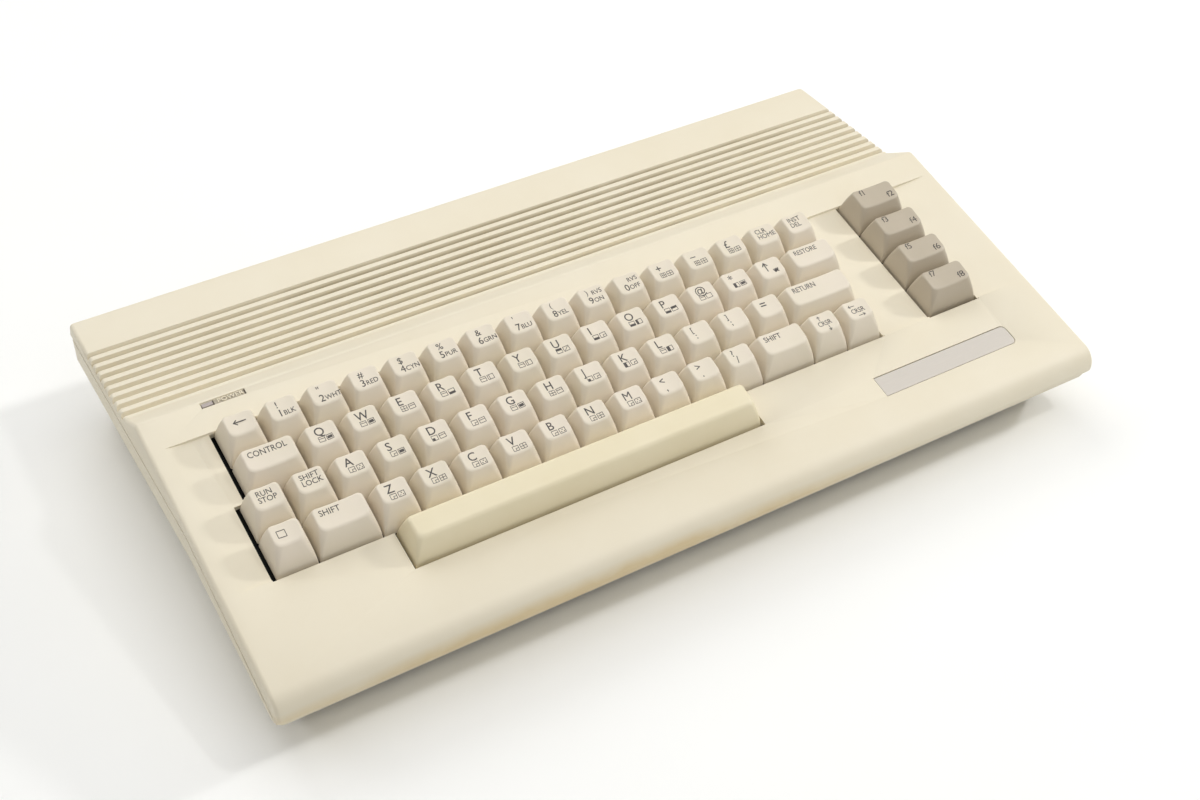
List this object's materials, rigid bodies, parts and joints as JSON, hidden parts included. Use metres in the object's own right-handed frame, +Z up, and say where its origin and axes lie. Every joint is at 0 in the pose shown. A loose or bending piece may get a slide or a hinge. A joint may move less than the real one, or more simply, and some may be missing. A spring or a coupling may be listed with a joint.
{
  "type": "home computer",
  "caption": "Wedge-shaped home computer in two case halves, with a full-travel keyboard, function keys, ribbed rear deck, side and rear sockets, boards and rubber feet.",
  "frame": {"origin": "on the table, under the middle of the case", "axes": "+X to the right of the person typing, +Y to the rear, +Z up"},
  "size_m": [0.4076, 0.232, 0.0734],
  "materials": {
    "case_plastic": "fine satin moulded plastic, slightly yellowed",
    "keycap_plastic": "satin moulded plastic",
    "space_bar_plastic": "satin moulded plastic, yellower than the other caps",
    "function_key_plastic": "satin moulded plastic, warm grey",
    "name_plate_foil": "satin painted foil, bare",
    "lamp_lens": "clear red-brown lens",
    "plated_steel": "zinc-plated steel",
    "black_plastic": "black moulded plastic",
    "circuit_board": "green solder mask",
    "ribbon_cable": "grey flat cable",
    "rubber": "matt black rubber"
  },
  "bodies": {
    "case": {"upper_case": "case_plastic", "lower_case": "case_plastic", "main_board": "circuit_board", "keyboard_frame": "plated_steel", "keyboard_board": "circuit_board", "board_shield": "plated_steel", "name_plate": "name_plate_foil", "power_lamp": "lamp_lens", "power_switch_housing": "black_plastic", "power_socket": "black_plastic", "joystick_port_1": "plated_steel", "joystick_port_2": "plated_steel", "cartridge_port": "black_plastic", "tv_modulator": "plated_steel", "av_socket": "black_plastic", "serial_socket": "black_plastic", "foot_front_left": "rubber", "foot_front_right": "rubber", "foot_rear_left": "rubber", "foot_rear_right": "rubber", "case_screw_1": "plated_steel", "case_screw_2": "plated_steel", "case_screw_3": "plated_steel", "bar_stabiliser": "plated_steel", "keyboard_ribbon": "ribbon_cable"},
    "key_left_arrow_body": {"key_left_arrow": "keycap_plastic"},
    "key_home_body": {"key_home": "keycap_plastic"},
    "key_delete_body": {"key_delete": "keycap_plastic"},
    "key_control_body": {"key_control": "keycap_plastic"},
    "key_up_arrow_body": {"key_up_arrow": "keycap_plastic"},
    "key_restore_body": {"key_restore": "keycap_plastic"},
    "key_stop_body": {"key_stop": "keycap_plastic"},
    "key_shift_lock_body": {"key_shift_lock": "keycap_plastic"},
    "key_return_body": {"key_return": "keycap_plastic"},
    "key_mode_body": {"key_mode": "keycap_plastic"},
    "key_shift_left_body": {"key_shift_left": "keycap_plastic"},
    "key_shift_right_body": {"key_shift_right": "keycap_plastic"},
    "key_cursor_vertical_body": {"key_cursor_vertical": "keycap_plastic"},
    "key_cursor_horizontal_body": {"key_cursor_horizontal": "keycap_plastic"},
    "key_a_body": {"key_a": "keycap_plastic"},
    "key_s_body": {"key_s": "keycap_plastic"},
    "key_d_body": {"key_d": "keycap_plastic"},
    "key_f_body": {"key_f": "keycap_plastic"},
    "key_g_body": {"key_g": "keycap_plastic"},
    "key_h_body": {"key_h": "keycap_plastic"},
    "key_j_body": {"key_j": "keycap_plastic"},
    "key_k_body": {"key_k": "keycap_plastic"},
    "key_l_body": {"key_l": "keycap_plastic"},
    "key_colon_body": {"key_colon": "keycap_plastic"},
    "key_semicolon_body": {"key_semicolon": "keycap_plastic"},
    "key_equals_body": {"key_equals": "keycap_plastic"},
    "key_f7_body": {"key_f7": "function_key_plastic"},
    "key_f5_body": {"key_f5": "function_key_plastic"},
    "key_f3_body": {"key_f3": "function_key_plastic"},
    "key_f1_body": {"key_f1": "function_key_plastic"},
    "key_space_bar_body": {"key_space_bar": "space_bar_plastic"},
    "keys_number_row_body": {"keys_number_row": "keycap_plastic"},
    "keys_upper_row_body": {"keys_upper_row": "keycap_plastic"},
    "keys_lower_row_body": {"keys_lower_row": "keycap_plastic"},
    "power_rocker_body": {"power_rocker": "black_plastic"}
  },
  "joints": [
    {"name": "key_left_arrow_travel", "type": "slide", "parent": "case", "child": "key_left_arrow_body", "axis": [0, 0.225, -0.9744], "range_m": [0, 0.0038], "stiffness_N_per_m": 80, "springref_m": -0.004},
    {"name": "key_home_travel", "type": "slide", "parent": "case", "child": "key_home_body", "axis": [0, 0.225, -0.9744], "range_m": [0, 0.0038], "stiffness_N_per_m": 80, "springref_m": -0.004},
    {"name": "key_delete_travel", "type": "slide", "parent": "case", "child": "key_delete_body", "axis": [0, 0.225, -0.9744], "range_m": [0, 0.0038], "stiffness_N_per_m": 80, "springref_m": -0.004},
    {"name": "key_control_travel", "type": "slide", "parent": "case", "child": "key_control_body", "axis": [0, 0.225, -0.9744], "range_m": [0, 0.0038], "stiffness_N_per_m": 80, "springref_m": -0.004},
    {"name": "key_up_arrow_travel", "type": "slide", "parent": "case", "child": "key_up_arrow_body", "axis": [0, 0.225, -0.9744], "range_m": [0, 0.0038], "stiffness_N_per_m": 80, "springref_m": -0.004},
    {"name": "key_restore_travel", "type": "slide", "parent": "case", "child": "key_restore_body", "axis": [0, 0.225, -0.9744], "range_m": [0, 0.0038], "stiffness_N_per_m": 80, "springref_m": -0.004},
    {"name": "key_stop_travel", "type": "slide", "parent": "case", "child": "key_stop_body", "axis": [0, 0.225, -0.9744], "range_m": [0, 0.0038], "stiffness_N_per_m": 80, "springref_m": -0.004},
    {"name": "key_shift_lock_travel", "type": "slide", "parent": "case", "child": "key_shift_lock_body", "axis": [0, 0.225, -0.9744], "range_m": [0, 0.0038], "stiffness_N_per_m": 80, "springref_m": -0.004},
    {"name": "key_return_travel", "type": "slide", "parent": "case", "child": "key_return_body", "axis": [0, 0.225, -0.9744], "range_m": [0, 0.0038], "stiffness_N_per_m": 80, "springref_m": -0.004},
    {"name": "key_mode_travel", "type": "slide", "parent": "case", "child": "key_mode_body", "axis": [0, 0.225, -0.9744], "range_m": [0, 0.0038], "stiffness_N_per_m": 80, "springref_m": -0.004},
    {"name": "key_shift_left_travel", "type": "slide", "parent": "case", "child": "key_shift_left_body", "axis": [0, 0.225, -0.9744], "range_m": [0, 0.0038], "stiffness_N_per_m": 80, "springref_m": -0.004},
    {"name": "key_shift_right_travel", "type": "slide", "parent": "case", "child": "key_shift_right_body", "axis": [0, 0.225, -0.9744], "range_m": [0, 0.0038], "stiffness_N_per_m": 80, "springref_m": -0.004},
    {"name": "key_cursor_vertical_travel", "type": "slide", "parent": "case", "child": "key_cursor_vertical_body", "axis": [0, 0.225, -0.9744], "range_m": [0, 0.0038], "stiffness_N_per_m": 80, "springref_m": -0.004},
    {"name": "key_cursor_horizontal_travel", "type": "slide", "parent": "case", "child": "key_cursor_horizontal_body", "axis": [0, 0.225, -0.9744], "range_m": [0, 0.0038], "stiffness_N_per_m": 80, "springref_m": -0.004},
    {"name": "key_a_travel", "type": "slide", "parent": "case", "child": "key_a_body", "axis": [0, 0.225, -0.9744], "range_m": [0, 0.0038], "stiffness_N_per_m": 80, "springref_m": -0.004},
    {"name": "key_s_travel", "type": "slide", "parent": "case", "child": "key_s_body", "axis": [0, 0.225, -0.9744], "range_m": [0, 0.0038], "stiffness_N_per_m": 80, "springref_m": -0.004},
    {"name": "key_d_travel", "type": "slide", "parent": "case", "child": "key_d_body", "axis": [0, 0.225, -0.9744], "range_m": [0, 0.0038], "stiffness_N_per_m": 80, "springref_m": -0.004},
    {"name": "key_f_travel", "type": "slide", "parent": "case", "child": "key_f_body", "axis": [0, 0.225, -0.9744], "range_m": [0, 0.0038], "stiffness_N_per_m": 80, "springref_m": -0.004},
    {"name": "key_g_travel", "type": "slide", "parent": "case", "child": "key_g_body", "axis": [0, 0.225, -0.9744], "range_m": [0, 0.0038], "stiffness_N_per_m": 80, "springref_m": -0.004},
    {"name": "key_h_travel", "type": "slide", "parent": "case", "child": "key_h_body", "axis": [0, 0.225, -0.9744], "range_m": [0, 0.0038], "stiffness_N_per_m": 80, "springref_m": -0.004},
    {"name": "key_j_travel", "type": "slide", "parent": "case", "child": "key_j_body", "axis": [0, 0.225, -0.9744], "range_m": [0, 0.0038], "stiffness_N_per_m": 80, "springref_m": -0.004},
    {"name": "key_k_travel", "type": "slide", "parent": "case", "child": "key_k_body", "axis": [0, 0.225, -0.9744], "range_m": [0, 0.0038], "stiffness_N_per_m": 80, "springref_m": -0.004},
    {"name": "key_l_travel", "type": "slide", "parent": "case", "child": "key_l_body", "axis": [0, 0.225, -0.9744], "range_m": [0, 0.0038], "stiffness_N_per_m": 80, "springref_m": -0.004},
    {"name": "key_colon_travel", "type": "slide", "parent": "case", "child": "key_colon_body", "axis": [0, 0.225, -0.9744], "range_m": [0, 0.0038], "stiffness_N_per_m": 80, "springref_m": -0.004},
    {"name": "key_semicolon_travel", "type": "slide", "parent": "case", "child": "key_semicolon_body", "axis": [0, 0.225, -0.9744], "range_m": [0, 0.0038], "stiffness_N_per_m": 80, "springref_m": -0.004},
    {"name": "key_equals_travel", "type": "slide", "parent": "case", "child": "key_equals_body", "axis": [0, 0.225, -0.9744], "range_m": [0, 0.0038], "stiffness_N_per_m": 80, "springref_m": -0.004},
    {"name": "key_f7_travel", "type": "slide", "parent": "case", "child": "key_f7_body", "axis": [0, 0.225, -0.9744], "range_m": [0, 0.0038], "stiffness_N_per_m": 80, "springref_m": -0.004},
    {"name": "key_f5_travel", "type": "slide", "parent": "case", "child": "key_f5_body", "axis": [0, 0.225, -0.9744], "range_m": [0, 0.0038], "stiffness_N_per_m": 80, "springref_m": -0.004},
    {"name": "key_f3_travel", "type": "slide", "parent": "case", "child": "key_f3_body", "axis": [0, 0.225, -0.9744], "range_m": [0, 0.0038], "stiffness_N_per_m": 80, "springref_m": -0.004},
    {"name": "key_f1_travel", "type": "slide", "parent": "case", "child": "key_f1_body", "axis": [0, 0.225, -0.9744], "range_m": [0, 0.0038], "stiffness_N_per_m": 80, "springref_m": -0.004},
    {"name": "key_space_bar_travel", "type": "slide", "parent": "case", "child": "key_space_bar_body", "axis": [0, 0.225, -0.9744], "range_m": [0, 0.0038], "stiffness_N_per_m": 160, "springref_m": -0.004},
    {"name": "keys_number_row_travel", "type": "slide", "parent": "case", "child": "keys_number_row_body", "axis": [0, 0.225, -0.9744], "range_m": [0, 0.0038], "stiffness_N_per_m": 1040, "springref_m": -0.004},
    {"name": "keys_upper_row_travel", "type": "slide", "parent": "case", "child": "keys_upper_row_body", "axis": [0, 0.225, -0.9744], "range_m": [0, 0.0038], "stiffness_N_per_m": 960, "springref_m": -0.004},
    {"name": "keys_lower_row_travel", "type": "slide", "parent": "case", "child": "keys_lower_row_body", "axis": [0, 0.225, -0.9744], "range_m": [0, 0.0038], "stiffness_N_per_m": 800, "springref_m": -0.004},
    {"name": "power_rocker_tilt", "type": "hinge", "parent": "case", "child": "power_rocker_body", "pos_m": [0.1936, 0.06979, 0.0249], "axis": [0, 0, 1], "range_deg": [0, 14]}
  ]
}
